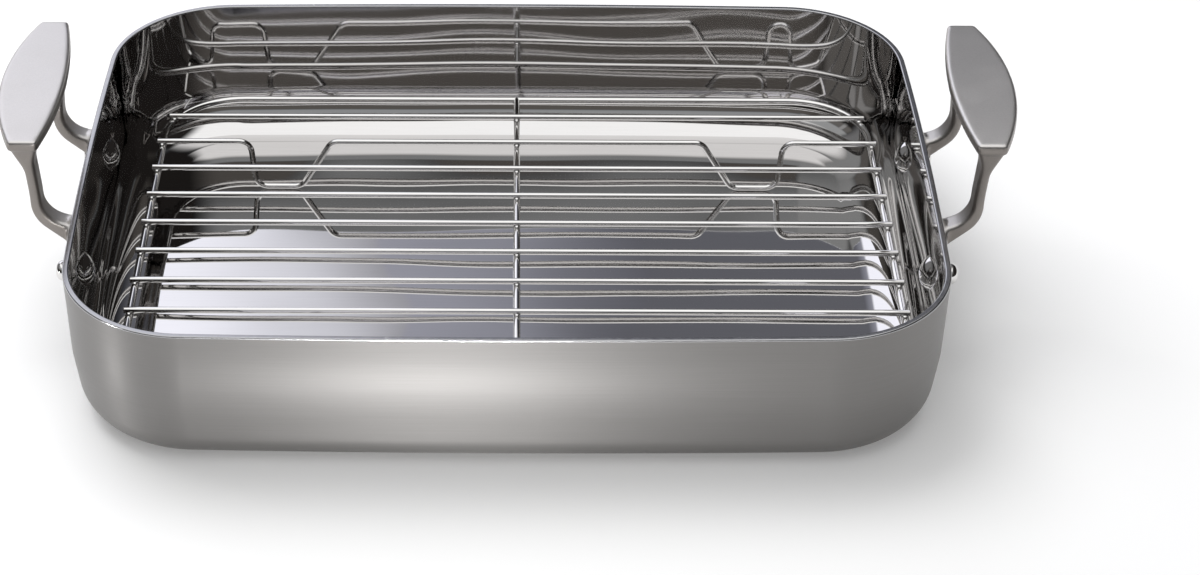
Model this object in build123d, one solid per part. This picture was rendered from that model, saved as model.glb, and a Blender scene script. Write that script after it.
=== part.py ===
from build123d import *
import math
import os

# Origin: centre of the pan's flat underside. +X runs along the pan to the right handle, +Z up.

# Pan shell, outside sizes at the rim
rim_length = 402.6
rim_depth = 302.1
long_side_bow = 3.4
short_side_bow = 3.5
rim_corner_radius = 59
pan_height = 73
wall_lean = 2.0
wall_thickness = 3.0
floor_thickness = 3.0
floor_edge_radius = 20
rim_edge_radius = 0.7
cut_overrun = 5

# Handles: grip pad
grip_wall_gap = 6.0
grip_half_length = 55.5
grip_end_width = 13.2
grip_inner_bow = 6.0
grip_outer_bow = 10.8
grip_rise = 41.5
grip_thickness = 6.0
grip_crown = 0.8
grip_corner_radius = 1.6
grip_top_radius = 1.5
grip_under_radius = 1.2

# Handles: arms, which run from the pad's ends down and in to the wall
arm_thickness = 5.2
arm_width = 11
arm_set_in = 1.2
arm_neck_drop = 4.6
arm_neck_radius = 9
arm_inner_flare_height = 9
arm_outer_flare_height = 15
arm_flare_radius = 22
arm_top_drop = 13
arm_top_slope = 20
arm_under_drop = 25
arm_under_slope = 40
arm_outer_bend_radius = 17
arm_inner_bend_radius = 13
arm_inset = 11.5
arm_shoulder_drop = 38
arm_sweep_radius = 26
arm_foot_share = 0.7

# Handles: feet on the wall
foot_thickness = 5.0
foot_top_drop = 19
foot_top_radius = 8.5
foot_rivet_radius = 9.5
foot_edge_radius = 1.5
foot_blend_radius = 9
foot_blend_sink = 0.9

# Rivets, one through each foot
rivet_end_inset = 4.1
rivet_drop = 31.7
rivet_shank_radius = 3.5
inner_head_radius = 8.6
inner_head_height = 4.4
outer_head_radius = 5.0
outer_head_height = 5.8
outer_head_crown = 3.4

# Rack, lying a little off the pan's centre, with play all round inside the pan's floor
rack_play_x = 14.1
rack_play_y = 9.65
rack_corner_play = 15
rack_shift_x_share = 0.333
rack_shift_y_share = -0.725
frame_wire_radius = 1.9
cross_wire_radius = 1.5
spine_radius = 1.6
wire_count = 10
rack_end_gap = 22
weld_sink = 0.35
wire_end_reach = 0.6
rack_stand_height = 31.5
rack_floor_gap = 0.3

# Feet of the rack, bent into the second wire from each end
foot_wire_from_end = 1
leg_side_gap = 44.8
leg_outer_slant = 2.3
leg_foot_width = 23.1
leg_inner_slant = 16
leg_bend_radius = 6.5

# Places that follow from the sizes above
rivet_spread = grip_half_length - rivet_end_inset
rivet_height = pan_height - rivet_drop
arm_top = pan_height + grip_rise - grip_crown - grip_top_radius
wall_set_in = wall_lean + wall_thickness
frame_half_length = rim_length / 2 - wall_set_in - rack_play_x - frame_wire_radius
frame_half_depth = rim_depth / 2 - wall_set_in - rack_play_y - frame_wire_radius
rack_corner_radius = rim_corner_radius - wall_set_in - rack_corner_play
wire_pitch = 2 * (frame_half_depth - rack_end_gap) / (wire_count - 1)
rack_place = Pos(rack_play_x * rack_shift_x_share, rack_play_y * rack_shift_y_share, 0)
frame_height = rack_stand_height - cross_wire_radius - frame_wire_radius + weld_sink
spine_height = rack_stand_height - cross_wire_radius - spine_radius + weld_sink
leg_outer_top = frame_half_length - leg_side_gap
leg_outer_bottom = leg_outer_top - leg_outer_slant
leg_inner_bottom = leg_outer_bottom - leg_foot_width
leg_inner_top = leg_inner_bottom - leg_inner_slant


def lean_at(height):
    """How far the wall has come in from the rim at a height."""
    return wall_lean * (pan_height - height) / pan_height


def side_wall_at(spread, height):
    """Outside X of the pan's short side, at a distance from mid depth and a height."""
    bow_fall = short_side_bow * (spread / (rim_depth / 2)) ** 2
    return rim_length / 2 - lean_at(height) - bow_fall


def bowed_outline(inset, height):
    """The pan's plan outline, its long and short sides bowed, drawn in by the inset."""
    half_x = rim_length / 2 - inset
    half_y = rim_depth / 2 - inset
    corner_x = half_x - short_side_bow
    corner_y = half_y - long_side_bow
    face = make_face([
        ThreePointArc((-corner_x, -corner_y), (0, -half_y), (corner_x, -corner_y)),
        ThreePointArc((corner_x, -corner_y), (half_x, 0), (corner_x, corner_y)),
        ThreePointArc((corner_x, corner_y), (0, half_y), (-corner_x, corner_y)),
        ThreePointArc((-corner_x, corner_y), (-half_x, 0), (-corner_x, -corner_y)),
    ])
    return Pos(0, 0, height) * fillet(face.vertices(), rim_corner_radius - inset)


def pan_block(inset, bottom, top):
    """A solid of the pan's form between two heights, with sharp edges."""
    lower = bowed_outline(inset + lean_at(bottom), bottom)
    upper = bowed_outline(inset + lean_at(top), top)
    return loft([lower, upper], ruled=True)


def round_floor(block, radius):
    return fillet(block.faces().sort_by(Axis.Z)[0].edges(), radius)


def make_shell(outside):
    """The drawn pan, without its rivet holes."""
    inside = pan_block(wall_thickness, floor_thickness, pan_height + cut_overrun)
    shell = outside - round_floor(inside, floor_edge_radius - wall_thickness)
    return fillet(shell.faces().sort_by(Axis.Z)[-1].edges(), rim_edge_radius)


def make_grip():
    """The leaf-shaped pad, with bowed sides, a shallow crown and round edges."""
    inner_mid = rim_length / 2 + grip_wall_gap
    inner_end = inner_mid + grip_inner_bow
    outer_end = inner_end + grip_end_width
    outer_mid = outer_end + grip_outer_bow
    ends = grip_half_length
    leaf = make_face([
        Line((inner_end, ends), (outer_end, ends)),
        ThreePointArc((outer_end, ends), (outer_mid, 0), (outer_end, -ends)),
        Line((outer_end, -ends), (inner_end, -ends)),
        ThreePointArc((inner_end, -ends), (inner_mid, 0), (inner_end, ends)),
    ])
    leaf = fillet(leaf.vertices(), grip_corner_radius)
    top = pan_height + grip_rise
    bottom = top - grip_thickness
    shoulder = top - grip_crown
    crown = make_face([
        ThreePointArc((-ends, shoulder), (0, top), (ends, shoulder)),
        Line((ends, shoulder), (ends, bottom)),
        Line((ends, bottom), (-ends, bottom)),
        Line((-ends, bottom), (-ends, shoulder)),
    ])
    pad = extrude(Pos(0, 0, bottom) * leaf, grip_thickness) & extrude(Plane.YZ * crown, rim_length)
    pad = fillet(pad.faces().sort_by(Axis.Z)[-1].edges(), grip_top_radius)
    under = pad.faces().sort_by(Axis.Z)[0]
    long_sides = [edge for edge in under.edges() if edge.bounding_box().size.Y > grip_half_length]
    return fillet(long_sides, grip_under_radius)


def arm_side_profile():
    """The arms seen along the pan's short side: the pad's end narrows, then bends in to the wall."""
    neck = pan_height + grip_rise - arm_neck_drop
    rim = rim_length / 2
    inner_end = rim + grip_wall_gap + grip_inner_bow
    outer_end = inner_end + grip_end_width
    inside = inner_end + (grip_end_width - arm_thickness) / 2 - arm_set_in
    outside = inside + arm_thickness
    root = rim - wall_set_in
    top_fall = math.tan(math.radians(arm_top_slope))
    under_fall = math.tan(math.radians(arm_under_slope))
    top_at_wall = pan_height - arm_top_drop
    under_at_wall = pan_height - arm_under_drop
    foot_face = side_wall_at(grip_half_length - arm_inset, rivet_height) + foot_thickness - foot_blend_sink
    outer_run = FilletPolyline(
        (outer_end, arm_top),
        (outer_end, neck),
        (outside, neck - arm_outer_flare_height),
        (outside, under_at_wall + (outside - rim) * under_fall),
        (foot_face, under_at_wall + (foot_face - rim) * under_fall),
        (foot_face, rivet_height),
        radius=[arm_neck_radius, arm_flare_radius, arm_outer_bend_radius, foot_blend_radius],
    )
    inner_run = FilletPolyline(
        (root, top_at_wall + (root - rim) * top_fall),
        (inside, top_at_wall + (inside - rim) * top_fall),
        (inside, neck - arm_inner_flare_height),
        (inner_end, neck),
        (inner_end, arm_top),
        radius=[arm_inner_bend_radius, arm_flare_radius, arm_neck_radius],
    )
    foot_end = Line((foot_face, rivet_height), (root, rivet_height))
    wall_end = Line((root, rivet_height), inner_run @ 0)
    pad_end = Line(inner_run @ 1, outer_run @ 0)
    return make_face(outer_run.edges() + [foot_end, wall_end] + inner_run.edges() + [pad_end])


def arm_end_profile():
    """One arm seen along the pan's length, drawn in from the pad's end to the foot."""
    shoulder = pan_height + grip_rise - arm_shoulder_drop
    near_low = pan_height - foot_top_drop - foot_top_radius * arm_foot_share
    far = grip_half_length
    near = far - arm_width
    far_run = FilletPolyline(
        (far, arm_top),
        (far - arm_inset, shoulder),
        (far - arm_inset, rivet_height),
        radius=arm_sweep_radius,
    )
    near_run = FilletPolyline(
        (near - arm_inset, near_low),
        (near - arm_inset, shoulder),
        (near, arm_top),
        radius=arm_sweep_radius,
    )
    ends = [Line(far_run @ 1, near_run @ 0), Line(near_run @ 1, far_run @ 0)]
    return make_face(far_run.edges() + near_run.edges() + ends)


def make_foot():
    """One oval foot, which follows the wall's lean and bow."""
    arm_centre = grip_half_length - arm_inset - arm_width / 2
    top_circle = Pos(arm_centre, pan_height - foot_top_drop) * Circle(foot_top_radius)
    rivet_circle = Pos(rivet_spread, rivet_height) * Circle(foot_rivet_radius)
    hull = make_hull(top_circle.edges() + rivet_circle.edges())
    prism = extrude(Plane.YZ.offset(rim_length / 4) * hull, rim_length / 2)
    foot = prism & pan_block(-foot_thickness, 0, pan_height)
    return fillet(foot.faces().sort_by(Axis.X)[-1].edges(), foot_edge_radius)


def make_arm():
    """One arm, where its two profiles cross, with its long edges rounded."""
    side = extrude(Plane.XZ * arm_side_profile(), rim_depth / 2, both=True)
    arm = side & extrude(Plane.YZ * arm_end_profile(), rim_length)
    root = arm.faces().sort_by(Axis.X)[0]
    long_edges = arm.edges().filter_by(Axis.X, reverse=True).filter_by(Axis.Y, reverse=True)
    return fillet([edge for edge in long_edges if edge not in root.edges()], grip_corner_radius)


def make_handle(outside):
    """The right handle in one casting, seated on the pan's wall."""
    half = make_arm() + make_foot()
    handle = make_grip() + half + mirror(half, about=Plane.XZ)
    return handle - outside


def dome_arc(base, radius, height):
    """A dome's profile from its edge to its crown; a negative height points to -X."""
    ball = (radius**2 + height**2) / (2 * abs(height))
    half_turn = math.asin(radius / ball) / 2
    way = math.copysign(1, height)
    centre = base + height - way * ball
    middle = (centre + way * ball * math.cos(half_turn), ball * math.sin(half_turn))
    return ThreePointArc((base, radius), middle, (base + height, 0))


def make_rivet_blank():
    """The right rivet turned about its axis, its heads running into the wall and the foot."""
    wall = side_wall_at(rivet_spread, rivet_height)
    inside = wall - wall_thickness
    outside = wall + foot_thickness
    sunk_inside = inside + wall_thickness / 2
    sunk_outside = outside - foot_thickness / 2
    crown_base = outside + outer_head_height - outer_head_crown
    dome = dome_arc(inside, inner_head_radius, -inner_head_height)
    button = dome_arc(crown_base, outer_head_radius, outer_head_crown)
    profile = make_face([
        dome,
        Line((inside, inner_head_radius), (sunk_inside, inner_head_radius)),
        Line((sunk_inside, inner_head_radius), (sunk_inside, rivet_shank_radius)),
        Line((sunk_inside, rivet_shank_radius), (sunk_outside, rivet_shank_radius)),
        Line((sunk_outside, rivet_shank_radius), (sunk_outside, outer_head_radius)),
        Line((sunk_outside, outer_head_radius), (crown_base, outer_head_radius)),
        button,
        Line(button @ 1, dome @ 1),
    ])
    return revolve(profile, Axis.X)


def make_shank_hole():
    """A cutter for the rivet's hole through the wall and the foot."""
    across = Plane.YZ.offset(rim_length / 2 - wall_set_in - cut_overrun)
    depth = wall_set_in + foot_thickness + 2 * cut_overrun
    return extrude(across * Circle(rivet_shank_radius), depth)


def wire(path, radius):
    return sweep(Plane(path @ 0, z_dir=path % 0) * Circle(radius), path=path)


def make_rack_frame():
    """The rack's outer wire, a closed loop with round corners."""
    x, y, z = frame_half_length, frame_half_depth, frame_height
    loop = FilletPolyline(
        (-x, -y, z), (x, -y, z), (x, y, z), (-x, y, z), radius=rack_corner_radius, close=True)
    return wire(loop, frame_wire_radius)


def make_rack_spine(frame):
    """The wire under the middle of the cross wires, butted to the frame at both ends."""
    ends = Line((0, -frame_half_depth, spine_height), (0, frame_half_depth, spine_height))
    return largest(wire(ends, spine_radius) - frame)


def cross_wire_half_length(offset):
    """From the spine to a cross wire's end, just past the frame's outer side."""
    outer_radius = rack_corner_radius + frame_wire_radius
    past_corner = max(0, abs(offset) - (frame_half_depth - rack_corner_radius))
    outer_side = frame_half_length - rack_corner_radius + math.sqrt(outer_radius**2 - past_corner**2)
    return outer_side + wire_end_reach


def make_cross_wire(offset, has_feet, welded_to):
    """One cross wire of the rack, set down into the wires that it is welded to."""
    end = cross_wire_half_length(offset)
    top = rack_stand_height
    low = floor_thickness + rack_floor_gap + cross_wire_radius
    if has_feet:
        right = [(leg_inner_top, top), (leg_inner_bottom, low), (leg_outer_bottom, low), (leg_outer_top, top)]
        left = [(-x, z) for x, z in reversed(right)]
        points = [(x, offset, z) for x, z in [(-end, top)] + left + right + [(end, top)]]
        path = FilletPolyline(*points, radius=leg_bend_radius)
    else:
        path = Line((-end, offset, top), (end, offset, top))
    return largest(wire(path, cross_wire_radius) - welded_to)


def largest(shape):
    return shape.solids().sort_by(SortBy.VOLUME)[-1]


def make_rack():
    """The rack's wires by name, in the rack's place in the pan."""
    frame = make_rack_frame()
    spine = make_rack_spine(frame)
    wires = {"rack_frame": frame, "rack_spine": spine}
    foot_names = {foot_wire_from_end: "front_foot_wire", wire_count - 1 - foot_wire_from_end: "rear_foot_wire"}
    for index in range(wire_count):
        offset = wire_pitch * (index - (wire_count - 1) / 2)
        name = foot_names.get(index, f"cross_wire_{index + 1}")
        wires[name] = make_cross_wire(offset, index in foot_names, frame + spine)
    return {name: rack_place * solid for name, solid in wires.items()}


def make_pan():
    """The pan, its handles and its rivets by name."""
    outside = round_floor(pan_block(0, 0, pan_height), floor_edge_radius)
    shell = make_shell(outside)
    handle = make_handle(outside)
    blank = make_rivet_blank()
    hole = make_shank_hole()
    rivets = {}
    for row, spread in (("front", -rivet_spread), ("rear", rivet_spread)):
        place = Pos(0, spread, rivet_height)
        handle -= place * hole
        shell -= place * hole
        shell -= mirror(place * hole, about=Plane.YZ)
        rivets[row] = place * blank
    pieces = {"pan_body": shell, "right_handle": handle, "left_handle": mirror(handle, about=Plane.YZ)}
    for row, rivet in rivets.items():
        seated = rivet - shell - handle
        pieces[f"right_{row}_rivet"] = seated
        pieces[f"left_{row}_rivet"] = mirror(seated, about=Plane.YZ)
    return pieces


os.makedirs("parts", exist_ok=True)
for node, solid in {**make_pan(), **make_rack()}.items():
    export_step(solid, f"parts/{node}.step")
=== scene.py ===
import bmesh
import bpy
import math
from math import cos, pi, sin
from mathutils import Matrix, Vector


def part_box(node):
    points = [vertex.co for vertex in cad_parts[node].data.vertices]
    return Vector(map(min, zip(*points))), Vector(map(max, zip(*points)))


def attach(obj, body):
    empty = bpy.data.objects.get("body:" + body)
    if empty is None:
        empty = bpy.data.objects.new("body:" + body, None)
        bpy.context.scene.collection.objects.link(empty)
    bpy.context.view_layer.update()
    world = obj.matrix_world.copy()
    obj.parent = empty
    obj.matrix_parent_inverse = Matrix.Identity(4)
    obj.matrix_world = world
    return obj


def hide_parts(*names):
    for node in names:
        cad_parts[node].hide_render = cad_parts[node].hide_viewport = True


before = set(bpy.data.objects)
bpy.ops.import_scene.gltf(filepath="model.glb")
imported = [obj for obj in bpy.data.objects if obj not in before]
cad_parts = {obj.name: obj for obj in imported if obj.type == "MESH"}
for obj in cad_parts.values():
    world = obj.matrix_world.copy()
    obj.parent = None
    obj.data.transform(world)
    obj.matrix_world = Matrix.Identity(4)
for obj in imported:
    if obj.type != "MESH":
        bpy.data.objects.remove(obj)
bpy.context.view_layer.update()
mm = 0.001


# Small tools used all over

def say(words):
    print("roasting pan scene: " + words)


def objectMode():
    if bpy.context.object and bpy.context.object.mode != 'OBJECT':
        bpy.ops.object.mode_set(mode='OBJECT')
    bpy.ops.object.select_all(action='DESELECT')


def startPiece(name):
    piece = bpy.context.object   # the primitive that was just added
    piece.name = name
    piece.data.name = name
    bpy.ops.object.mode_set(mode='EDIT')
    bpy.ops.mesh.select_all(action='SELECT')
    return piece


def pick(piece, kind, test):
    # selects the vertices, edges or faces of the edited piece that pass the test
    bpy.ops.mesh.select_mode(type=kind)
    bpy.ops.mesh.select_all(action='DESELECT')
    mesh = bmesh.from_edit_mesh(piece.data)
    found = {'VERT': mesh.verts, 'EDGE': mesh.edges, 'FACE': mesh.faces}[kind]
    hits = [item for item in found if test(item)]
    for item in hits:
        item.select_set(True)
    bmesh.update_edit_mesh(piece.data)
    return len(hits)


def applyAll(piece):
    objectMode()
    bpy.context.view_layer.objects.active = piece
    piece.select_set(True)
    for modifier in list(piece.modifiers):
        bpy.ops.object.modifier_apply(modifier=modifier.name)
    bpy.ops.object.transform_apply(location=True, rotation=True, scale=True)


def smoothPiece(piece, angle):
    objectMode()
    bpy.context.view_layer.objects.active = piece
    piece.select_set(True)
    bpy.ops.object.shade_smooth_by_angle(angle=math.radians(angle))


def joinPieces(name, parts):
    objectMode()
    for part in parts:
        part.select_set(True)
    bpy.context.view_layer.objects.active = parts[0]
    if len(parts) > 1:
        bpy.ops.object.join()
    parts[0].name = name
    parts[0].data.name = name
    return parts[0]


def mirrorCopy(piece, name, flipX, flipY):
    # a copy with its own mesh, turned over across the pan's middle planes
    objectMode()
    piece.select_set(True)
    bpy.context.view_layer.objects.active = piece
    bpy.ops.object.duplicate()
    copy = bpy.context.object
    copy.name = name
    copy.data.name = name
    copy.scale = (-1 if flipX else 1, -1 if flipY else 1, 1)
    bpy.ops.object.transform_apply(location=True, rotation=True, scale=True)
    bpy.ops.object.mode_set(mode='EDIT')
    bpy.ops.mesh.select_all(action='SELECT')
    bpy.ops.mesh.normals_make_consistent(inside=False)
    bpy.ops.object.mode_set(mode='OBJECT')
    return copy


# Camera, as the photograph was taken

photoCamera = {
    "lookAt": (0.525 * mm, -3.92 * mm, 0),
    "distance": 1384.3 * mm,
    "elevation": 34.45,
    "roll": 0.23,
    "focalPixels": 2825,
    "middlePixel": 508,
    "imageWidth": 1200,
}


def addCamera():
    settings = photoCamera
    rise = math.radians(settings["elevation"])
    target = Vector(settings["lookAt"])
    place = target + settings["distance"] * Vector((0, -math.cos(rise), math.sin(rise)))
    bpy.ops.object.camera_add(location=place)
    camera = bpy.context.object
    camera.name = "photoCamera"
    turn = (target - place).to_track_quat('-Z', 'Y').to_matrix().to_4x4()
    lean = Matrix.Rotation(math.radians(settings["roll"]), 4, 'Z')
    camera.matrix_world = Matrix.Translation(place) @ turn @ lean
    camera.data.sensor_width = 36
    camera.data.lens = settings["focalPixels"] * camera.data.sensor_width / settings["imageWidth"]
    camera.data.shift_x = 0.5 - settings["middlePixel"] / settings["imageWidth"]
    camera.data.clip_end = 50
    bpy.context.scene.camera = camera


addCamera()
say("camera placed")


# Pan shell: one wall section, drawn once and spun round the bowed outline

panShape = {
    "halfLength": 201.3 * mm,
    "halfDepth": 151.05 * mm,
    "longBow": 3.4 * mm,
    "shortBow": 3.5 * mm,
    "cornerRadius": 59 * mm,
    "height": 73 * mm,
    "lean": 2 * mm,
    "wall": 3 * mm,
    "floor": 3 * mm,
    "outerEdge": 16 * mm,
    "innerEdge": 24 * mm,
    "rimRound": 0.8 * mm,
    "floorStart": 40 * mm,
    "edgeSteps": 20,
    "rimSteps": 4,
    "bowSteps": 10,
    "cornerSteps": 40,
}


def sideCircle(halfChord, bow):
    return (halfChord ** 2 + bow ** 2) / (2 * bow)   # the radius of a side's long arc


def outlineArcs():
    # the eight arcs of the rim, from the front's middle round to it again
    shape = panShape
    endX = shape["halfLength"] - shape["shortBow"]
    endY = shape["halfDepth"] - shape["longBow"]
    longRadius = sideCircle(endX, shape["longBow"])
    shortRadius = sideCircle(endY, shape["shortBow"])
    front = Vector((0, longRadius - shape["halfDepth"]))
    right = Vector((shape["halfLength"] - shortRadius, 0))
    fromFront = longRadius - shape["cornerRadius"]
    fromRight = shortRadius - shape["cornerRadius"]
    gap = (right - front).length
    along = (gap ** 2 + fromFront ** 2 - fromRight ** 2) / (2 * gap)
    aside = math.sqrt(fromFront ** 2 - along ** 2)
    way = (right - front) / gap
    corner = front + way * along + Vector((-way.y, way.x)) * aside
    if corner.x < 0:
        corner = front + way * along - Vector((-way.y, way.x)) * aside
    longTurn = math.asin(corner.x / fromFront)
    shortTurn = math.asin(-corner.y / fromRight)
    cornerTurn = math.pi / 2 - longTurn - shortTurn
    bow, round_ = shape["bowSteps"], shape["cornerSteps"]
    return [
        ((front.x, front.y), longTurn, bow),
        ((corner.x, corner.y), cornerTurn, round_),
        ((right.x, right.y), 2 * shortTurn, 2 * bow),
        ((corner.x, -corner.y), cornerTurn, round_),
        ((front.x, -front.y), 2 * longTurn, 2 * bow),
        ((-corner.x, -corner.y), cornerTurn, round_),
        ((-right.x, right.y), 2 * shortTurn, 2 * bow),
        ((-corner.x, corner.y), cornerTurn, round_),
        ((front.x, front.y), longTurn, bow),
    ]


def wallSection():
    # corner points of the wall's section as (in from the rim, height, rounding, steps)
    shape = panShape
    slope = shape["lean"] / shape["height"]
    innerFoot = shape["wall"] + shape["lean"] - slope * shape["floor"]
    return [
        (shape["floorStart"], 0, 0, 0),
        (shape["lean"], 0, shape["outerEdge"], shape["edgeSteps"]),
        (0, shape["height"], shape["rimRound"], shape["rimSteps"]),
        (shape["wall"], shape["height"], shape["rimRound"], shape["rimSteps"]),
        (innerFoot, shape["floor"], shape["innerEdge"], shape["edgeSteps"]),
        (shape["floorStart"], shape["floor"], 0, 0),
    ]


def roundCorner(piece, points, index):
    inset, height, radius, steps = points[index]
    here = Vector((inset, height))
    before = (Vector(points[index - 1][:2]) - here).normalized()
    after = (Vector(points[index + 1][:2]) - here).normalized()
    setBack = radius / math.tan(before.angle(after) / 2)
    start = -panShape["halfDepth"]
    near = 0.01 * mm
    pick(piece, 'VERT', lambda v: abs(v.co.y - start - inset) < near and abs(v.co.z - height) < near)
    bpy.ops.mesh.bevel(offset_type='OFFSET', offset=setBack, segments=steps, profile=0.5, affect='VERTICES')


# the drawn sheet is not quite straight: at each height the long sides lie in by so much, all in mm
sheetDrift = [(0, 2.9), (8, 2.7), (14, 2.35), (20, 1.85), (26, 1.3), (32, 0.8), (38, 0.5),
              (44, 0.45), (50, 0.65), (56, 0.8), (62, 0.7), (68, 0.35), (73, 0)]
driftRings = 16
endDriftTop = 32 * mm   # the ends are drawn in below this height alone, clear of the handles


def driftAt(height):
    level = height / mm
    for (low, first), (high, last) in zip(sheetDrift, sheetDrift[1:]):
        if level <= high:
            share = (level - low) / (high - low)
            ease = share * share * (3 - 2 * share)
            straight = first + (last - first) * share
            return (straight + (first + (last - first) * ease)) / 2 * mm
    return 0


def outerLevels(piece):
    # heights of the section's outer points, where a ring of the wall will run
    shape = panShape
    edge = shape["outerEdge"]
    centre = Vector((shape["lean"] + edge, edge))
    levels = []
    for vertex in bmesh.from_edit_mesh(piece.data).verts:
        inset = vertex.co.y + shape["halfDepth"]
        onEdge = abs((Vector((inset, vertex.co.z)) - centre).length - edge) < 0.8 * mm and vertex.co.z < edge
        if onEdge or inset < shape["lean"]:
            levels.append(vertex.co.z)
    return sorted(levels)


def driftSides(piece, levels):
    # every outer ring is drawn in, so that the walls swell a little and the floor's edge eases in
    shape = panShape
    for level in levels:
        found = pick(piece, 'VERT', lambda v: abs(v.co.z - level) < 0.002 * mm)
        across = 1 - driftAt(level) / shape["halfDepth"]
        along = 1 - max(0, driftAt(level) - driftAt(endDriftTop)) / shape["halfLength"] * (level < endDriftTop)
        if found:
            bpy.ops.transform.resize(value=(along, across, 1), center_override=(0, 0, 0))


def closeFloor(piece, height):
    near = 0.01 * mm
    pick(piece, 'EDGE', lambda e: e.is_boundary and all(abs(v.co.z - height) < near for v in e.verts))
    bpy.ops.mesh.edge_face_add()
    bpy.ops.mesh.inset(thickness=0.5 * mm)
    bpy.ops.mesh.inset(thickness=6 * mm)


def makePanShell():
    shape = panShape
    points = wallSection()
    objectMode()
    bpy.ops.mesh.primitive_plane_add(size=mm, location=(0, 0, 0))
    shell = startPiece("panShell")
    bpy.ops.mesh.merge(type='CENTER')
    bpy.ops.transform.translate(value=(0, points[0][0] - shape["halfDepth"], points[0][1]))
    for last, point in zip(points, points[1:]):
        step = (0, point[0] - last[0], point[1] - last[1])
        bpy.ops.mesh.extrude_region_move(TRANSFORM_OT_translate={"value": step})
    for index in range(1, len(points) - 1):
        roundCorner(shell, points, index)
    tall = 40 * mm
    pick(shell, 'EDGE', lambda e: e.calc_length() > tall and all(
        v.co.y + shape["halfDepth"] < shape["wall"] - shape["rimRound"] for v in e.verts))
    bpy.ops.mesh.subdivide(number_cuts=driftRings)
    levels = outerLevels(shell)
    bpy.ops.mesh.select_mode(type='EDGE')
    bpy.ops.mesh.select_all(action='SELECT')
    for centre, turn, steps in outlineArcs():
        bpy.ops.mesh.spin(steps=steps, angle=-turn, center=(centre[0], centre[1], 0), axis=(0, 0, 1))
    bpy.ops.mesh.select_all(action='SELECT')
    bpy.ops.mesh.remove_doubles(threshold=0.005 * mm)
    driftSides(shell, levels)
    closeFloor(shell, 0)
    closeFloor(shell, shape["floor"])
    bpy.ops.mesh.select_all(action='SELECT')
    bpy.ops.mesh.normals_make_consistent(inside=False)
    bpy.ops.object.mode_set(mode='OBJECT')
    smoothPiece(shell, 50)
    weigh = shell.modifiers.new("flatFloor", 'WEIGHTED_NORMAL')
    weigh.mode = 'FACE_AREA'
    weigh.keep_sharp = True
    applyAll(shell)
    return shell


panShell = makePanShell()
say("pan shell has %d faces" % len(panShell.data.polygons))


# Rack wires: a ring that is extruded along straight runs and spun round bends

rackShape = {
    "shift": Vector((4.6953 * mm, -6.99625 * mm, 0)),
    "wireTop": 31.5 * mm,
    "crossRadius": 1.5 * mm,
    "frameRadius": 1.9 * mm,
    "spineRadius": 1.6 * mm,
    "frameBend": 39 * mm,
    "legBend": 6.5 * mm,
    "sides": 24,
    "degreesPerStep": 6,
    "endRound": 0.45 * mm,
}


def drawWire(name, radius, start, route, closed=False):
    # route holds the corner points after the start, with the bend radius at each
    objectMode()
    points = [Vector(start)] + [Vector(p) for p, bend in route]
    bends = [0] + [bend for p, bend in route]
    heading = (points[1] - points[0]).normalized()
    turn = heading.to_track_quat('Z', 'Y').to_euler()
    bpy.ops.mesh.primitive_circle_add(
        vertices=rackShape["sides"], radius=radius, location=points[0], rotation=turn)
    wire = startPiece(name)
    bpy.ops.mesh.select_mode(type='EDGE')
    bpy.ops.mesh.select_all(action='SELECT')
    here = points[0].copy()
    for index in range(1, len(points)):
        corner = points[index]
        heading = (corner - points[index - 1]).normalized()
        if bends[index] == 0:
            bpy.ops.mesh.extrude_region_move(TRANSFORM_OT_translate={"value": corner - here})
            here = corner.copy()
            continue
        onward = (points[index + 1] - corner).normalized()
        angle = heading.angle(onward)
        setBack = bends[index] * math.tan(angle / 2)
        stop = corner - heading * setBack
        bpy.ops.mesh.extrude_region_move(TRANSFORM_OT_translate={"value": stop - here})
        axis = heading.cross(onward).normalized()
        centre = stop + axis.cross(heading) * bends[index]
        steps = max(3, round(math.degrees(angle) / rackShape["degreesPerStep"]))
        bpy.ops.mesh.spin(steps=steps, angle=-angle, center=centre, axis=axis)
        here = corner + onward * setBack
    if closed:
        bpy.ops.mesh.select_all(action='SELECT')
        bpy.ops.mesh.remove_doubles(threshold=0.01 * mm)
    else:
        capEnds(wire)
    bpy.ops.mesh.select_all(action='SELECT')
    bpy.ops.mesh.normals_make_consistent(inside=False)
    bpy.ops.object.mode_set(mode='OBJECT')
    applyAll(wire)
    smoothPiece(wire, 45)
    return wire


def capEnds(wire):
    pick(wire, 'EDGE', lambda e: e.is_boundary)
    bpy.ops.mesh.edge_face_add()
    pick(wire, 'FACE', lambda f: len(f.verts) == rackShape["sides"])
    bpy.ops.mesh.region_to_loop()
    bpy.ops.mesh.bevel(offset_type='OFFSET', offset=rackShape["endRound"], segments=3, profile=0.5, affect='EDGES')


def nodeEnds(node):
    low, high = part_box(node)
    return low.x, high.x, (low.y + high.y) / 2


def makeRackFrame():
    shape = rackShape
    low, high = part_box("rack_frame")
    radius = shape["frameRadius"]
    level = high.z - radius
    left, right = low.x + radius, high.x - radius
    front, rear = low.y + radius, high.y - radius
    bend = shape["frameBend"]
    start = (shape["shift"].x, front, level)
    corners = [(right, front), (right, rear), (left, rear), (left, front)]
    route = [((x, y, level), bend) for x, y in corners] + [(start, 0)]
    return drawWire("rackFrame", radius, start, route, closed=True)


def makeRackSpine():
    low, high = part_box("rack_spine")
    radius = rackShape["spineRadius"]
    level = high.z - radius
    middle = (low.x + high.x) / 2
    return drawWire("rackSpine", radius, (middle, low.y, level), [((middle, high.y, level), 0)])


def makeCrossWire(node, name):
    left, right, across = nodeEnds(node)
    top = rackShape["wireTop"]
    return drawWire(name, rackShape["crossRadius"], (left, across, top), [((right, across, top), 0)])


legPlaces = [135.5 * mm, 133.2 * mm, 110.1 * mm, 94.1 * mm]   # from the spine, top to top of one foot


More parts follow.
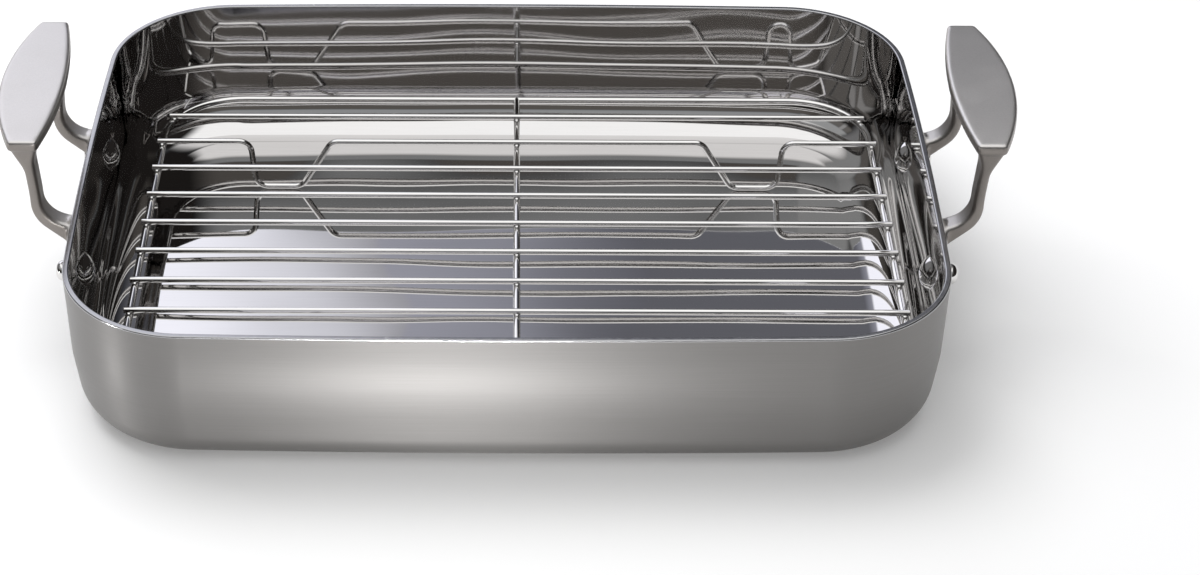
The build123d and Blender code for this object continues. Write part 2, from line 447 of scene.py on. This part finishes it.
def makeFootWire(node, name):
    left, right, across = nodeEnds(node)
    radius, top = rackShape["crossRadius"], rackShape["wireTop"]
    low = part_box(node)[0].z + radius
    middle = rackShape["shift"].x
    levels = [top, low, low, top]
    leftFoot = [(middle - x, z) for x, z in zip(legPlaces, levels)]
    rightFoot = [(middle + x, z) for x, z in zip(reversed(legPlaces), levels)]
    route = [((x, across, z), rackShape["legBend"]) for x, z in leftFoot + rightFoot]
    return drawWire(name, radius, (left, across, top), route + [((right, across, top), 0)])


rackFrame = makeRackFrame()
rackSpine = makeRackSpine()
crossWires = {}
for node in sorted(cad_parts):
    if node.startswith("cross_wire"):
        crossWires[node] = makeCrossWire(node, "crossWire" + node.split("_")[-1])
footWires = {
    "front_foot_wire": makeFootWire("front_foot_wire", "frontFootWire"),
    "rear_foot_wire": makeFootWire("rear_foot_wire", "rearFootWire"),
}
say("rack has %d wires" % (2 + len(crossWires) + len(footWires)))


# Weld beads where the wires cross

beadShape = {
    "size": Vector((1.7 * mm, 2.1 * mm, 1.0 * mm)),   # half sizes: along, across and under a cross wire
    "segments": 16,
    "rings": 10,
}


def crossings():
    # where each cross and foot wire meets the frame's two rails and the spine
    low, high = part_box("rack_frame")
    shape = rackShape
    halfX = (high.x - low.x) / 2 - shape["frameRadius"]
    halfY = (high.y - low.y) / 2 - shape["frameRadius"]
    middle = (low + high) / 2
    bend = shape["frameBend"]
    level = high.z - 0.1 * mm
    places = []
    for node in sorted([*crossWires, *footWires]):
        across = nodeEnds(node)[2]
        inBend = max(0, abs(across - middle.y) - (halfY - bend))
        reach = halfX - bend + math.sqrt(bend ** 2 - inBend ** 2)
        places += [(middle.x + offset, across, level) for offset in (-reach, 0, reach)]
    return places


def makeBead(place):
    objectMode()
    bpy.ops.mesh.primitive_uv_sphere_add(
        segments=beadShape["segments"], ring_count=beadShape["rings"], radius=1, location=place)
    bead = startPiece("weldBead")
    bpy.ops.transform.resize(value=beadShape["size"], center_override=place)
    pick(bead, 'VERT', lambda v: abs(v.co.z) < 0.3 * beadShape["size"].z)
    bpy.ops.transform.resize(value=(1.08, 1.08, 1), center_override=place)   # a bead sags a little
    bpy.ops.object.mode_set(mode='OBJECT')
    applyAll(bead)
    bpy.ops.object.shade_smooth()
    return bead


weldBeads = joinPieces("weldBeads", [makeBead(place) for place in crossings()])
say("welds have %d faces" % len(weldBeads.data.polygons))


# Rivets: a domed head inside the wall, a button head outside

rivetShape = {
    "spread": 51.4 * mm,
    "height": 41.3 * mm,
    "domeRadius": 8.6 * mm,
    "domeHeight": 4.4 * mm,
    "buttonRadius": 5 * mm,
    "buttonHeight": 5.8 * mm,
    "buttonRound": 3.6 * mm,
    "footThickness": 5 * mm,
    "sink": 0.6 * mm,
    "sides": 48,
}


def wallPlace(spread, height):
    # the short side's outer X at the rivets, with the bow and the lean taken off
    shape = panShape
    bowFall = shape["shortBow"] * (spread / shape["halfDepth"]) ** 2
    leanFall = shape["lean"] * (shape["height"] - height) / shape["height"]
    return shape["halfLength"] - bowFall - leanFall


def makeRivetDome():
    shape = rivetShape
    wallInside = wallPlace(shape["spread"], shape["height"]) - panShape["wall"]
    ball = (shape["domeRadius"] ** 2 + shape["domeHeight"] ** 2) / (2 * shape["domeHeight"])
    centre = wallInside - shape["domeHeight"] + ball
    objectMode()
    bpy.ops.mesh.primitive_uv_sphere_add(
        segments=shape["sides"], ring_count=48, radius=ball,
        location=(centre, shape["spread"], shape["height"]), rotation=(0, math.pi / 2, 0))
    dome = startPiece("rivetDome")
    cut = wallInside + shape["sink"]
    bpy.ops.mesh.bisect(
        plane_co=(cut, 0, 0), plane_no=(1, 0, 0), use_fill=True, clear_outer=True)
    bpy.ops.object.mode_set(mode='OBJECT')
    applyAll(dome)
    return dome


def makeRivetButton():
    shape = rivetShape
    footFace = wallPlace(shape["spread"], shape["height"]) + shape["footThickness"]
    depth = shape["buttonHeight"] + shape["sink"]
    objectMode()
    bpy.ops.mesh.primitive_cylinder_add(
        vertices=shape["sides"], radius=shape["buttonRadius"], depth=depth,
        location=(footFace + (shape["buttonHeight"] - shape["sink"]) / 2, shape["spread"], shape["height"]),
        rotation=(0, math.pi / 2, 0))
    button = startPiece("rivetButton")
    top = depth / 2
    near = 0.01 * mm
    pick(button, 'EDGE', lambda e: all(abs(v.co.z - top) < near for v in e.verts))
    bpy.ops.mesh.bevel(offset_type='OFFSET', offset=shape["buttonRound"], segments=10, profile=0.5, affect='EDGES')
    bpy.ops.object.mode_set(mode='OBJECT')
    applyAll(button)
    return button


def makeRivets():
    first = joinPieces("rightRearRivet", [makeRivetDome(), makeRivetButton()])
    smoothPiece(first, 50)
    return {
        "right_rear_rivet": first,
        "right_front_rivet": mirrorCopy(first, "rightFrontRivet", False, True),
        "left_rear_rivet": mirrorCopy(first, "leftRearRivet", True, False),
        "left_front_rivet": mirrorCopy(first, "leftFrontRivet", True, True),
    }


rivets = makeRivets()
say("rivets made")


# Handles: the casting's own form, merged and softened all over as a casting is

handleShape = {
    "voxel": 0.55 * mm,
    "softenSteps": 16,
    "softenShare": 0.5,
    "drawOut": 1.04,
    "drawBands": 30,
    "drawFrom": 60 * mm,
    "drawTo": 102 * mm,
}


def makeHandle(node, name):
    objectMode()
    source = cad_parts[node]
    source.select_set(True)
    bpy.context.view_layer.objects.active = source
    bpy.ops.object.duplicate()
    handle = bpy.context.object
    handle.name = name
    handle.data.name = name
    for key in list(handle.keys()):
        del handle[key]
    handle.parent = None
    bpy.ops.object.mode_set(mode='EDIT')
    bpy.ops.mesh.select_all(action='SELECT')
    bpy.ops.mesh.remove_doubles(threshold=0.01 * mm)
    bpy.ops.object.mode_set(mode='OBJECT')
    remesh = handle.modifiers.new("remesh", 'REMESH')
    remesh.mode = 'VOXEL'
    remesh.voxel_size = handleShape["voxel"]
    soften = handle.modifiers.new("soften", 'SMOOTH')
    soften.factor = handleShape["softenShare"]
    soften.iterations = handleShape["softenSteps"]
    applyAll(handle)
    drawGrip(handle)
    bpy.ops.object.shade_smooth()
    return handle


def drawGrip(handle):
    # the rear half of the grip is drawn out a little, band by band up the arm, so the foot stays put
    shape = handleShape
    objectMode()
    bpy.context.view_layer.objects.active = handle
    handle.select_set(True)
    bpy.ops.object.mode_set(mode='EDIT')
    growth = shape["drawOut"] ** (1 / shape["drawBands"])
    for band in range(shape["drawBands"]):
        level = shape["drawFrom"] + (shape["drawTo"] - shape["drawFrom"]) * band / shape["drawBands"]
        pick(handle, 'VERT', lambda v: v.co.z > level and v.co.y > 0)
        bpy.ops.transform.resize(value=(1, growth, 1), center_override=(0, 0, 0))
    bpy.ops.object.mode_set(mode='OBJECT')


handles = {
    "right_handle": makeHandle("right_handle", "rightHandle"),
    "left_handle": makeHandle("left_handle", "leftHandle"),
}
say("handles have %d faces each" % len(handles["right_handle"].data.polygons))


# Materials: shared effects first, each a node group that is built once

def newGroup(name, inputs, outputs):
    # inputs as {name: value}, outputs as {name: socket type}; a float unless the type says so
    group = bpy.data.node_groups.new(name, 'ShaderNodeTree')
    for label, value in inputs.items():
        kind = 'NodeSocketFloat' if isinstance(value, (int, float)) else 'NodeSocketVector'
        group.interface.new_socket(name=label, in_out='INPUT', socket_type=kind).default_value = value
    for label, kind in outputs.items():
        group.interface.new_socket(name=label, in_out='OUTPUT', socket_type=kind)
    return group, group.nodes.new("NodeGroupInput").outputs, group.nodes.new("NodeGroupOutput").inputs


def addNode(tree, kind, links=None, **settings):
    # a node with its settings, and its inputs linked or set by name or number
    node = tree.nodes.new(kind)
    for label, value in settings.items():
        setattr(node, label, value)
    for socket, value in (links or {}).items():
        if isinstance(value, bpy.types.NodeSocket):
            tree.links.new(value, node.inputs[socket])
        else:
            node.inputs[socket].default_value = value
    return node


def noiseOf(tree, scale, stretch, detail=2.0, roughness=0.5, move=None):
    # noise over the piece's own coordinates, drawn out by the stretch
    place = addNode(tree, "ShaderNodeTexCoord").outputs["Object"]
    if move is not None:
        place = addNode(tree, "ShaderNodeVectorMath", {0: place, 1: move}, operation='ADD').outputs[0]
    drawn = addNode(tree, "ShaderNodeVectorMath", {0: place, 1: stretch}, operation='MULTIPLY')
    noise = addNode(tree, "ShaderNodeTexNoise",
                    {"Vector": drawn.outputs[0], "Scale": scale, "Detail": detail, "Roughness": roughness})
    return noise.outputs["Fac"]


def spread(tree, value, low, high):
    ramp = addNode(tree, "ShaderNodeMapRange", {"Value": value, "To Min": low, "To Max": high})
    ramp.inputs["From Min"].default_value = 0.25
    ramp.inputs["From Max"].default_value = 0.75
    return ramp.outputs["Result"]


def makeSheetRipple():
    # slow waves of a drawn sheet, as a normal for mirror-bright faces
    tree, given, out = newGroup("sheetRipple", {"Scale": 12.0, "Depth": 0.0003, "Stretch": (1, 1, 1)},
                                {"Normal": 'NodeSocketVector'})
    wave = noiseOf(tree, given["Scale"], given["Stretch"], detail=1.0)
    bump = addNode(tree, "ShaderNodeBump", {"Height": wave, "Distance": given["Depth"]})
    tree.links.new(bump.outputs["Normal"], out["Normal"])
    return tree


def makeGrain():
    # fine lines or pits: a roughness, a tone to mix colours by, and a height for a bump
    tree, given, out = newGroup(
        "grain", {"Fineness": 1.0, "Stretch": (1, 1, 1), "Smoothest": 0.3, "Roughest": 0.4},
        {"Roughness": 'NodeSocketFloat', "Tone": 'NodeSocketFloat', "Height": 'NodeSocketFloat'})
    fine = noiseOf(tree, given["Fineness"], given["Stretch"], detail=4.0, roughness=0.6)
    tree.links.new(spread(tree, fine, given["Smoothest"], given["Roughest"]), out["Roughness"])
    tree.links.new(spread(tree, fine, 0.0, 1.0), out["Tone"])
    tree.links.new(fine, out["Height"])
    return tree


def makeWear():
    # soft patches of handling and washing, as a value added to a roughness
    tree, given, out = newGroup("wear", {"Scale": 18.0, "Amount": 0.03}, {"Wear": 'NodeSocketFloat'})
    patch = noiseOf(tree, given["Scale"], (1, 1, 1), detail=5.0, roughness=0.65, move=(0.31, 0.17, 0.23))
    sharp = addNode(tree, "ShaderNodeMapRange", {"Value": patch, "To Min": 0.0, "To Max": given["Amount"]})
    sharp.inputs["From Min"].default_value = 0.5
    sharp.inputs["From Max"].default_value = 0.72
    tree.links.new(sharp.outputs["Result"], out["Wear"])
    return tree


def makeFlanks():
    # a mask of faces that do not face up: it darkens a casting's sides as painted shade and roughens steep inner
    # walls
    tree, given, out = newGroup("flanks", {"Steepest": 0.15, "Flattest": 0.8}, {"Flank": 'NodeSocketFloat'})
    facing = addNode(tree, "ShaderNodeSeparateXYZ", {0: addNode(tree, "ShaderNodeTexCoord").outputs["Normal"]})
    side = addNode(tree, "ShaderNodeMapRange", {
        "Value": facing.outputs["Z"], "From Min": given["Flattest"], "From Max": given["Steepest"]})
    tree.links.new(side.outputs["Result"], out["Flank"])
    return tree


sheetRipple = makeSheetRipple()
grain = makeGrain()
wear = makeWear()
flanks = makeFlanks()


def placeGroup(tree, group, **values):
    node = tree.nodes.new("ShaderNodeGroup")
    node.node_tree = group
    for label, value in values.items():
        node.inputs[label].default_value = value
    return node.outputs


def newMaterial(name):
    material = bpy.data.materials.new(name)
    material.use_nodes = True
    tree = material.node_tree
    return material, tree, tree.nodes["Principled BSDF"]


def makeSteel(name, look):
    # look: colours of the grain's lows and highs, grain, wear, ripple, bump, turned-in lines
    material, tree, shader = newMaterial(name)
    lines = placeGroup(tree, grain, Fineness=look["fineness"], Stretch=look["stretch"],
                       Smoothest=look["roughness"][0], Roughest=look["roughness"][1])
    worn = placeGroup(tree, wear, Scale=look["wearScale"], Amount=look["wear"])
    rough = addNode(tree, "ShaderNodeMath", {0: lines["Roughness"], 1: worn["Wear"]}, operation='ADD')
    if "wallBlur" in look:
        steep = placeGroup(tree, flanks)["Flank"]
        rough = addNode(tree, "ShaderNodeMath", {0: steep, 1: look["wallBlur"], 2: rough.outputs[0]},
                        operation='MULTIPLY_ADD')
    tone = addNode(tree, "ShaderNodeMix", {"Factor": lines["Tone"]}, data_type='RGBA')
    tone.inputs["A"].default_value = (*look["low"], 1)
    tone.inputs["B"].default_value = (*look["high"], 1)
    tree.links.new(rough.outputs[0], shader.inputs["Roughness"])
    color = tone.outputs["Result"]
    # painted shade: a casting's steep faces are multiplied darker than its faces that look up
    if "paintedSideShade" in look:
        paintedSideShadeMix = addNode(tree, "ShaderNodeMix", {"Factor": placeGroup(tree, flanks)["Flank"]},
                         data_type='RGBA', blend_type='MULTIPLY')
        tree.links.new(color, paintedSideShadeMix.inputs["A"])
        paintedSideShadeMix.inputs["B"].default_value = (*look["paintedSideShade"], 1)
        color = paintedSideShadeMix.outputs["Result"]
    tree.links.new(color, shader.inputs["Base Color"])
    shader.inputs["Metallic"].default_value = 1
    normal = None
    if "ripple" in look:
        scale, depth, stretch = look["ripple"]
        normal = placeGroup(tree, sheetRipple, Scale=scale, Depth=depth, Stretch=stretch)["Normal"]
    if "bump" in look:
        bump = addNode(tree, "ShaderNodeBump", {"Height": lines["Height"], "Distance": look["bump"]})
        if normal is not None:
            tree.links.new(normal, bump.inputs["Normal"])
        normal = bump.outputs["Normal"]
    tree.links.new(normal, shader.inputs["Normal"])
    if "brushed" in look:
        shader.inputs["Anisotropic"].default_value = look["brushed"]
        shader.inputs["Anisotropic Rotation"].default_value = 0.25   # the lines run round the wall
        around = addNode(tree, "ShaderNodeTangent", direction_type='RADIAL', axis='Z')
        tree.links.new(around.outputs["Tangent"], shader.inputs["Tangent"])
    return material


# the outside's colours are kept far darker than the inside's steel as painted shade, so the brushed walls mirror
# the pale floor dimly
outsideLook = {
    "low": (0.240, 0.233, 0.227), "high": (0.266, 0.259, 0.253), "roughness": (0.395, 0.425),
    "fineness": 1.0, "stretch": (14, 14, 2600), "bump": 0.000004, "wearScale": 16, "wear": 0.02,
    "brushed": 0.714,
}
insideLook = {
    "low": (0.675, 0.665, 0.66), "high": (0.70, 0.69, 0.685), "roughness": (0.015, 0.03),
    "fineness": 1.0, "stretch": (40, 900, 900), "wearScale": 22, "wear": 0.02,
    "ripple": (7.0, 0.0018, (1.0, 1.25, 1.6)), "wallBlur": 0.012,
}
rimLook = {
    "low": (0.40, 0.40, 0.41), "high": (0.46, 0.46, 0.47), "roughness": (0.18, 0.26),
    "fineness": 1.0, "stretch": (300, 300, 3000), "bump": 0.000006, "wearScale": 60, "wear": 0.05,
}
# the casting's flank colour is painted shade on the handles' sides
castLook = {
    "low": (0.65, 0.63, 0.61), "high": (0.73, 0.71, 0.69), "roughness": (0.34, 0.42),
    "fineness": 1500.0, "stretch": (1, 1, 1), "bump": 0.00005, "wearScale": 45, "wear": 0.04,
    "paintedSideShade": (0.37, 0.35, 0.335),
}
rivetLook = {
    "low": (0.72, 0.71, 0.70), "high": (0.75, 0.74, 0.73), "roughness": (0.01, 0.03),
    "fineness": 900.0, "stretch": (1, 1, 1), "wearScale": 200, "wear": 0.03,
    "ripple": (120.0, 0.00006, (1, 1, 1)),
}
wireLook = {
    "low": (0.74, 0.73, 0.72), "high": (0.78, 0.77, 0.76), "roughness": (0.04, 0.07),
    "fineness": 1.0, "stretch": (60, 900, 900), "wearScale": 90, "wear": 0.03,
    "ripple": (60.0, 0.00008, (1, 1, 1)),
}
outsideSteel = makeSteel("outsideSteel", outsideLook)
insideSteel = makeSteel("insideSteel", insideLook)
rimSteel = makeSteel("rimSteel", rimLook)
castSteel = makeSteel("castSteel", castLook)
rivetSteel = makeSteel("rivetSteel", rivetLook)
wireSteel = makeSteel("wireSteel", wireLook)
say("materials made")


def setMaterial(piece, material):
    piece.data.materials.clear()
    piece.data.materials.append(material)


def dressPanShell(shell):
    for material in (outsideSteel, insideSteel, rimSteel):
        shell.data.materials.append(material)
    shape = panShape
    slope = shape["lean"] / shape["height"]
    for face in shell.data.polygons:
        middle = face.center
        if middle.z > shape["height"] - shape["rimRound"] * 0.9:
            face.material_index = 2
        elif face.normal.z > 0.2 and middle.z < shape["height"] / 2:
            face.material_index = 1
        elif (face.normal.x * middle.x + face.normal.y * middle.y) < 0:
            face.material_index = 1
        else:
            face.material_index = 0


dressPanShell(panShell)
for piece in handles.values():
    setMaterial(piece, castSteel)
for piece in rivets.values():
    setMaterial(piece, rivetSteel)
for piece in [rackFrame, rackSpine, weldBeads, *crossWires.values(), *footWires.values()]:
    setMaterial(piece, wireSteel)


# What each piece stands for and moves with

def standFor(piece, node, body):
    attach(piece, body)
    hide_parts(node)


standFor(panShell, "pan_body", "pan")
for node, piece in handles.items():
    standFor(piece, node, "pan")
for node, piece in rivets.items():
    standFor(piece, node, "pan")
standFor(rackFrame, "rack_frame", "rack")
standFor(rackSpine, "rack_spine", "rack")
for node, piece in {**crossWires, **footWires}.items():
    standFor(piece, node, "rack")
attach(weldBeads, "rack")
say("pieces ride on their bodies")


# Stage: floor, world and lamps

studio = {
    "floorSize": 8,
    "floorColor": (0.8, 0.8, 0.8),
    "floorLift": 0.20,
    "keySize": (1.2, 1.2),
    "keyPlace": (-0.55, 0.5, 1.5),
    "keyPower": 17.2,
    "dark": (0.020, 0.018, 0.017),
    "blackCard": (0.58, 0.36),   # the overhead boxes end here on the right, for a dark left wall
}

# low strip lamps that only the outer walls mirror: place, aim, size, beam in degrees and power
stripLamps = [
    ("frontStrip", (-0.06, -0.95, 0.036), (-0.03, -0.15, 0.036), (0.12, 0.07), 30, 0.160),
    ("leftStrip", (-0.816, -0.426, 0.036), (-0.190, -0.135, 0.036), (0.05, 0.07), 24, 0.026),
]

# soft boxes the metal mirrors: heading clockwise from the rear, its half width and soft edge,
# then lowest and highest elevation and their soft edge, all in degrees, then strength and colour
softBoxes = [
    ("rearLeftBox", -25.5, 21.5, 10, 8, 60, 10, 1.34, (0.95, 0.96, 1.05)),
    ("rearHalo", -22, 24, 12, 8, 60, 10, 0.46, (0.92, 0.94, 1.10)),
    ("rearFill", 0, 30, 40, 20, 60, 20, 0.16, (0.93, 0.95, 1.09)),
    ("leftBox", -68, 21, 16, 8, 60, 10, 0.20, (0.98, 0.98, 1.0)),
    ("leftCard", -101, 3, 4, 20, 70, 10, 0.35, (1.0, 0.99, 0.98)),
    ("leftSide", -112, 24, 12, 20, 60, 8, 0.16, (1, 0.95, 0.90)),
    ("leftGlow", -122, 34, 12, 33, 60, 6, 0.40, (0.97, 0.99, 1.0)),
    ("overheadRear", 0, 90, 1, 44, 90, 8, 1.27, (1.0, 1.0, 1.0)),
    ("overheadFront", 180, 90, 1, 50, 90, 16, 1.27, (1.0, 1.0, 1.0)),
    ("cameraSide", 180, 45, 50, 20, 60, 8, 0.120, (1, 0.93, 0.86)),
    ("cameraGlow", 180, 45, 40, 35, 60, 6, 0.36, (0.95, 0.98, 1.0)),
]


def addFloor():
    objectMode()
    bpy.ops.mesh.primitive_plane_add(size=studio["floorSize"], location=(0, 0, 0))
    floor = bpy.context.object
    floor.name = "studioFloor"
    material, tree, shader = newMaterial("studioFloor")
    nodes, links = tree.nodes, tree.links
    shader.inputs["Base Color"].default_value = (*studio["floorColor"], 1)
    shader.inputs["Roughness"].default_value = 0.9
    shader.inputs["Specular IOR Level"].default_value = 0
    output = nodes["Material Output"]
    path = nodes.new("ShaderNodeLightPath")
    seen = nodes.new("ShaderNodeMath")
    seen.operation = 'MAXIMUM'
    seenToo = nodes.new("ShaderNodeMath")
    seenToo.operation = 'MAXIMUM'
    lift = nodes.new("ShaderNodeMath")
    lift.operation = 'MULTIPLY'
    lift.inputs[1].default_value = studio["floorLift"]
    glow = nodes.new("ShaderNodeEmission")
    both = nodes.new("ShaderNodeAddShader")
    links.new(path.outputs["Is Camera Ray"], seen.inputs[0])
    links.new(path.outputs["Is Glossy Ray"], seen.inputs[1])
    links.new(seen.outputs[0], seenToo.inputs[0])
    links.new(path.outputs["Is Transmission Ray"], seenToo.inputs[1])
    links.new(seenToo.outputs[0], lift.inputs[0])
    links.new(lift.outputs[0], glow.inputs["Strength"])
    links.new(shader.outputs["BSDF"], both.inputs[0])
    links.new(glow.outputs["Emission"], both.inputs[1])
    links.new(both.outputs["Shader"], output.inputs["Surface"])
    material.cycles.emission_sampling = 'NONE'   # the lift is only seen, it lights nothing
    setMaterial(floor, material)
    return floor


def addWorld():
    world = bpy.data.worlds.new("studioWorld")
    bpy.context.scene.world = world
    world.use_nodes = True
    nodes, links = world.node_tree.nodes, world.node_tree.links
    nodes.clear()
    direction = nodes.new("ShaderNodeTexCoord").outputs["Generated"]

    def math(operation, first, second=None):
        node = nodes.new("ShaderNodeMath")
        node.operation = operation
        for socket, value in zip(node.inputs, (first, second)):
            if isinstance(value, (int, float)):
                socket.default_value = value
            elif value is not None:
                links.new(value, socket)
        return node.outputs[0]

    def along(vector):
        node = nodes.new("ShaderNodeVectorMath")
        node.operation = 'DOT_PRODUCT'
        links.new(direction, node.inputs[0])
        node.inputs[1].default_value = vector
        return node.outputs["Value"]

    def ramp(value, low, high):
        node = nodes.new("ShaderNodeMapRange")
        node.interpolation_type = 'SMOOTHSTEP'
        node.inputs["From Min"].default_value = low
        node.inputs["From Max"].default_value = high
        links.new(value, node.inputs["Value"])
        return node.outputs["Result"]

    height = math('MULTIPLY', math('ARCSINE', along((0, 0, 1))), 180 / pi)
    leftOfCard = ramp(along((1, 0, 0)), *studio["blackCard"])
    glow = None
    for name, heading, half, edge, low, high, rise, strength, color in softBoxes:
        turn = heading / 180 * pi
        ahead = along((sin(turn), cos(turn), 0))
        aside = along((cos(turn), -sin(turn), 0))
        off = math('ABSOLUTE', math('MULTIPLY', math('ARCTAN2', aside, ahead), 180 / pi))
        mask = ramp(off, half + edge / 2, half - edge / 2)
        mask = math('MULTIPLY', mask, ramp(height, low - rise / 2, low + rise / 2))
        if high < 90:
            mask = math('MULTIPLY', mask, ramp(height, high + rise / 2, high - rise / 2))
        else:
            mask = math('MULTIPLY', mask, leftOfCard)
        tint = nodes.new("ShaderNodeVectorMath")
        tint.name = name
        tint.operation = 'SCALE'
        tint.inputs[0].default_value = [part * strength for part in color]
        links.new(mask, tint.inputs["Scale"])
        if glow is None:
            glow = tint.outputs["Vector"]
        else:
            both = nodes.new("ShaderNodeVectorMath")
            both.operation = 'MAXIMUM'
            links.new(glow, both.inputs[0])
            links.new(tint.outputs["Vector"], both.inputs[1])
            glow = both.outputs["Vector"]
    floorOf = nodes.new("ShaderNodeVectorMath")
    floorOf.operation = 'MAXIMUM'
    floorOf.inputs[1].default_value = studio["dark"]
    links.new(glow, floorOf.inputs[0])
    path = nodes.new("ShaderNodeLightPath")
    mirrored = nodes.new("ShaderNodeBackground")
    links.new(floorOf.outputs["Vector"], mirrored.inputs["Color"])
    white = nodes.new("ShaderNodeBackground")
    white.inputs["Color"].default_value = (1, 1, 1, 1)
    seen = nodes.new("ShaderNodeMixShader")
    links.new(path.outputs["Is Camera Ray"], seen.inputs["Fac"])
    links.new(mirrored.outputs["Background"], seen.inputs[1])
    links.new(white.outputs["Background"], seen.inputs[2])
    output = nodes.new("ShaderNodeOutputWorld")
    links.new(seen.outputs["Shader"], output.inputs["Surface"])


def addAreaLamp(name, place, target, size, beam, power, mirrored):
    objectMode()
    bpy.ops.object.light_add(type='AREA', location=place)
    lamp = bpy.context.object
    lamp.name = name
    lamp.data.shape = 'RECTANGLE'
    lamp.data.size, lamp.data.size_y = size
    lamp.data.energy = power
    lamp.data.spread = math.radians(beam)
    lamp.rotation_euler = (Vector(target) - Vector(place)).to_track_quat('-Z', 'Y').to_euler()
    lamp.visible_glossy = mirrored   # most of what the metal mirrors is in the world's soft boxes
    lamp.visible_diffuse = not mirrored
    lamp.visible_camera = False
    return lamp


addFloor()
addWorld()
addAreaLamp("keyLamp", studio["keyPlace"], (0, 0, 0), studio["keySize"], 180, studio["keyPower"], False)
for name, place, target, size, beam, power in stripLamps:
    addAreaLamp(name, place, target, size, beam, power, True)
say("stage set")

bpy.context.scene.view_settings.view_transform = 'Standard'
